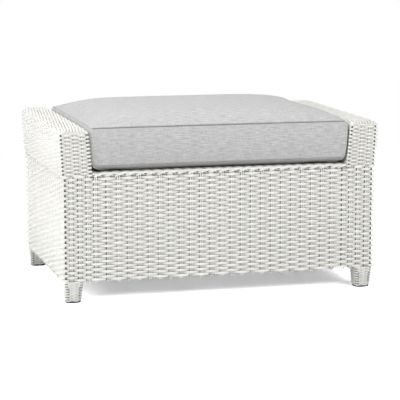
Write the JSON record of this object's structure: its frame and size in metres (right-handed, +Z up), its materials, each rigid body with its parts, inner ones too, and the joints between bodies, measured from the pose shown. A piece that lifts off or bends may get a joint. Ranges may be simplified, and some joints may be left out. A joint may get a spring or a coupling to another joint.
{
  "type": "outdoor ottoman footstool",
  "caption": "White woven resin ottoman with two raised flared arms, tapered legs and a loose grey boxed cushion that lifts out.",
  "frame": {"origin": "on the floor under the middle of the body's bounding box", "axes": "+X across the width from the left arm to the right arm, +Y to the back with the cushion's zip, +Z up"},
  "size_m": [0.8564, 0.574, 0.4843],
  "materials": {
    "wicker": "satin resin strand, warm white",
    "frame_tube": "white powder coat",
    "glide": "matt moulded",
    "cushion_cloth": "heathered woven outdoor cloth, light grey",
    "foam": "open-cell foam",
    "zip": "moulded, grey"
  },
  "bodies": {
    "base": {"arm_inner_post_back_left": "frame_tube", "arm_inner_post_back_right": "frame_tube", "arm_inner_post_front_left": "frame_tube", "arm_inner_post_front_right": "frame_tube", "arm_rail_inner_left": "frame_tube", "arm_rail_inner_right": "frame_tube", "arm_rail_outer_left": "frame_tube", "arm_rail_outer_right": "frame_tube", "arm_skin_back_left": "wicker", "arm_skin_back_right": "wicker", "arm_skin_front_left": "wicker", "arm_skin_front_right": "wicker", "arm_skin_inner_left": "wicker", "arm_skin_inner_right": "wicker", "arm_skin_outer_left": "wicker", "arm_skin_outer_right": "wicker", "arm_skin_top_left": "wicker", "arm_skin_top_right": "wicker", "back_skin": "wicker", "bottom_rail_back": "frame_tube", "bottom_rail_front": "frame_tube", "bottom_rail_left": "frame_tube", "bottom_rail_right": "frame_tube", "corner_post_back_left": "frame_tube", "corner_post_back_right": "frame_tube", "corner_post_front_left": "frame_tube", "corner_post_front_right": "frame_tube", "deck_border_back": "wicker", "deck_border_front": "wicker", "deck_cross_bar_1": "frame_tube", "deck_cross_bar_2": "frame_tube", "deck_cross_bar_3": "frame_tube", "deck_rail_back": "frame_tube", "deck_rail_front": "frame_tube", "deck_skin": "wicker", "foot_glide_back_left": "glide", "foot_glide_back_right": "glide", "foot_glide_front_left": "glide", "foot_glide_front_right": "glide", "front_skin": "wicker", "left_skin": "wicker", "leg_wrap_back_left": "wicker", "leg_wrap_back_right": "wicker", "leg_wrap_front_left": "wicker", "leg_wrap_front_right": "wicker", "right_skin": "wicker", "side_rail_inner_left": "frame_tube", "side_rail_inner_right": "frame_tube", "side_rail_outer_left": "frame_tube", "side_rail_outer_right": "frame_tube"},
    "cushion": {"cushion_bottom_panel": "cushion_cloth", "cushion_boxing": "cushion_cloth", "cushion_core": "foam", "cushion_top_panel": "cushion_cloth", "zip_boxing_lower": "cushion_cloth", "zip_boxing_upper": "cushion_cloth", "zip_chain": "zip"},
    "zip_slider": {"zip_slider": "zip"},
    "zip_pull": {"zip_pull_tab": "zip"}
  },
  "joints": [
    {"name": "cushion_lift", "type": "slide", "parent": "base", "child": "cushion", "axis": [0, 0, 1], "range_m": [0, 0.18]},
    {"name": "zip_run", "type": "slide", "parent": "cushion", "child": "zip_slider", "axis": [-1, 0, 0], "range_m": [0, 0.56]},
    {"name": "pull_tab_swing", "type": "hinge", "parent": "zip_slider", "child": "zip_pull", "pos_m": [0.2992, 0.2668, 0.3973], "axis": [0, 0, -1], "range_deg": [0, 150]}
  ]
}
